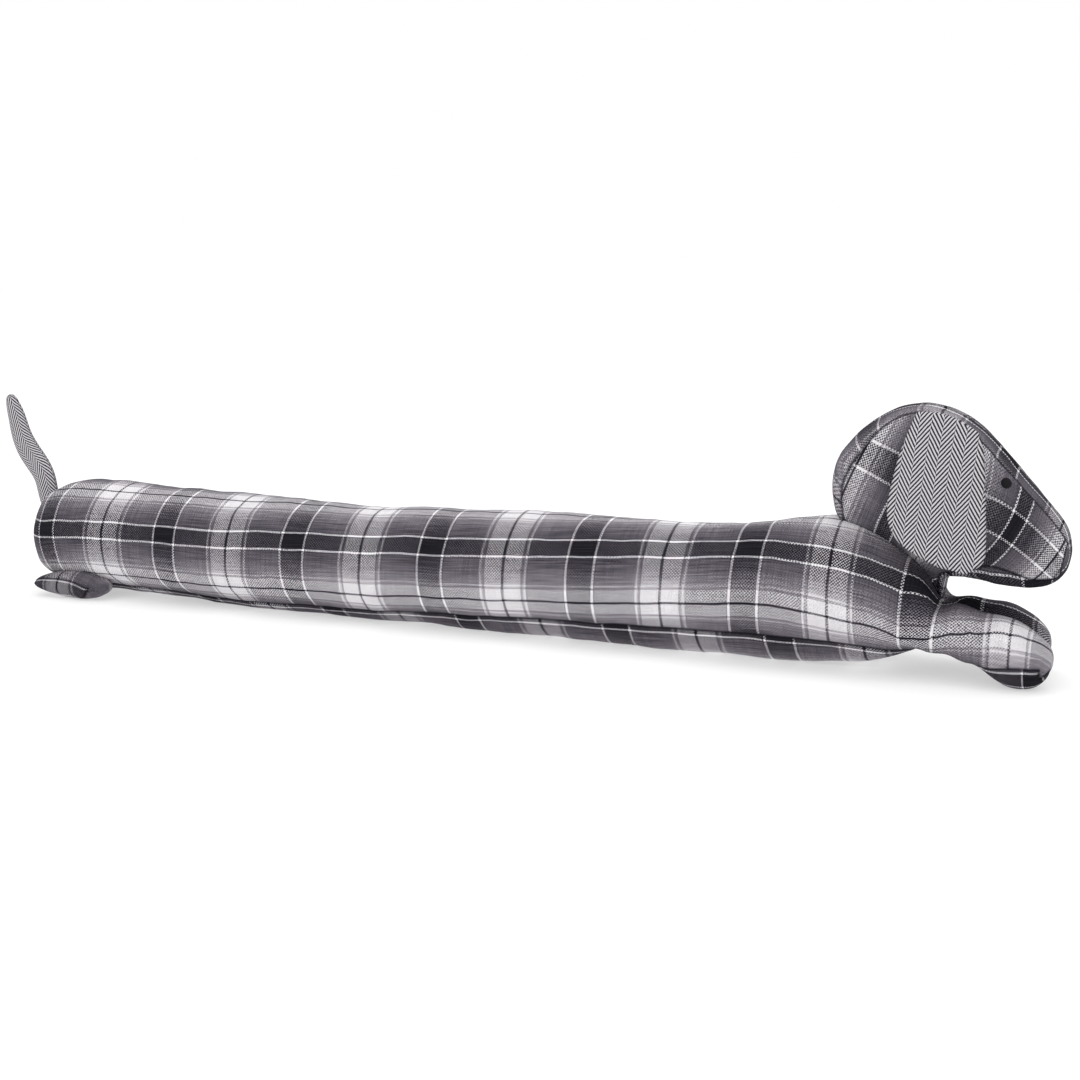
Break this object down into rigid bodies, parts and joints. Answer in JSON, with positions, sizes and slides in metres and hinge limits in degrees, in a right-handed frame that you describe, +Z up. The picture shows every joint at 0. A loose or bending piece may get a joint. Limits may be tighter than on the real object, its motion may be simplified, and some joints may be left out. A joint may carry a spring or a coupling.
{
  "type": "draught excluder",
  "caption": "Long stuffed draught excluder in the form of a sausage dog, with hanging ears, a tail, forelegs and rear feet.",
  "frame": {"origin": "on the surface that it rests on, under the middle of the body", "axes": "+X along the body towards the nose, -Y towards the dog's right side, +Z up"},
  "size_m": [1.0087, 0.1204, 0.2088],
  "materials": {
    "plaid_cloth": "brushed cotton twill in a black, grey and off-white shadow check",
    "herringbone_cloth": "charcoal and off-white herringbone",
    "black_thread": "black satin stitches"
  },
  "bodies": {
    "root": {"body": "plaid_cloth", "head": "plaid_cloth", "foot_right": "plaid_cloth", "foot_left": "plaid_cloth", "ear_right": "herringbone_cloth", "ear_left": "herringbone_cloth", "tail": "herringbone_cloth", "eye_right": "black_thread", "eye_left": "black_thread"}
  },
  "joints": []
}
